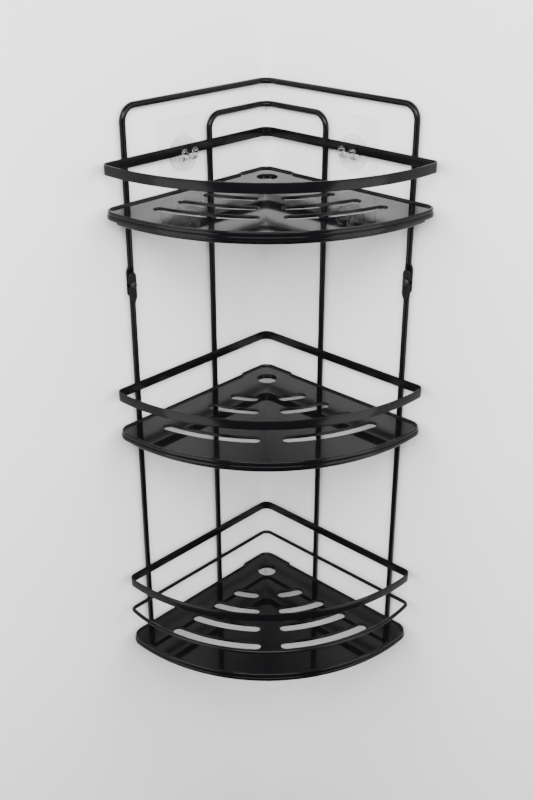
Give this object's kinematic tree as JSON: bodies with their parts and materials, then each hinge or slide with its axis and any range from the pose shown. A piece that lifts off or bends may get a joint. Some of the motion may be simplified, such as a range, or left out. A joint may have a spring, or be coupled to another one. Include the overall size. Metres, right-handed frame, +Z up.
{
  "type": "shower caddy",
  "caption": "Corner shower caddy of black coated steel: slotted shelf trays with guard rails on bent wires, lifted onto clear adhesive hooks on both walls.",
  "frame": {"origin": "on the vertical line where the two walls meet, level with the middle of the adhesive pads", "axes": "+Z up, -Y out of the corner into the room, +X to the right seen from the room; the walls run at 45 degrees to -Y on both sides"},
  "size_m": [0.3016, 0.2352, 0.5814],
  "materials": {
    "black_gloss": "smooth gloss black powder coating on steel",
    "black_satin": "smooth satin black powder coating on steel",
    "black_screws": "black plated steel",
    "clear_plastic": "clear moulded plastic and clear adhesive film"
  },
  "bodies": {
    "wall_hooks": {"adhesive_pad_left": "clear_plastic", "hook_left": "clear_plastic", "adhesive_pad_right": "clear_plastic", "hook_right": "clear_plastic"},
    "caddy": {"bottom_tray": "black_gloss", "bottom_tray_stiffener": "black_satin", "bottom_rail": "black_satin", "middle_tray": "black_gloss", "middle_tray_stiffener": "black_satin", "middle_rail": "black_satin", "top_tray": "black_gloss", "top_tray_stiffener": "black_satin", "top_rail": "black_satin", "bottom_guard_wire": "black_satin", "outer_arch": "black_satin", "inner_arch": "black_satin", "lower_outer_leg_left": "black_satin", "outer_screw_left": "black_screws", "lower_inner_leg_left": "black_satin", "inner_screw_left": "black_screws", "lower_outer_leg_right": "black_satin", "outer_screw_right": "black_screws", "lower_inner_leg_right": "black_satin", "inner_screw_right": "black_screws"}
  },
  "joints": [
    {"name": "lift_off", "type": "slide", "parent": "wall_hooks", "child": "caddy", "axis": [0, 0, 1], "range_m": [0, 0.015]}
  ]
}
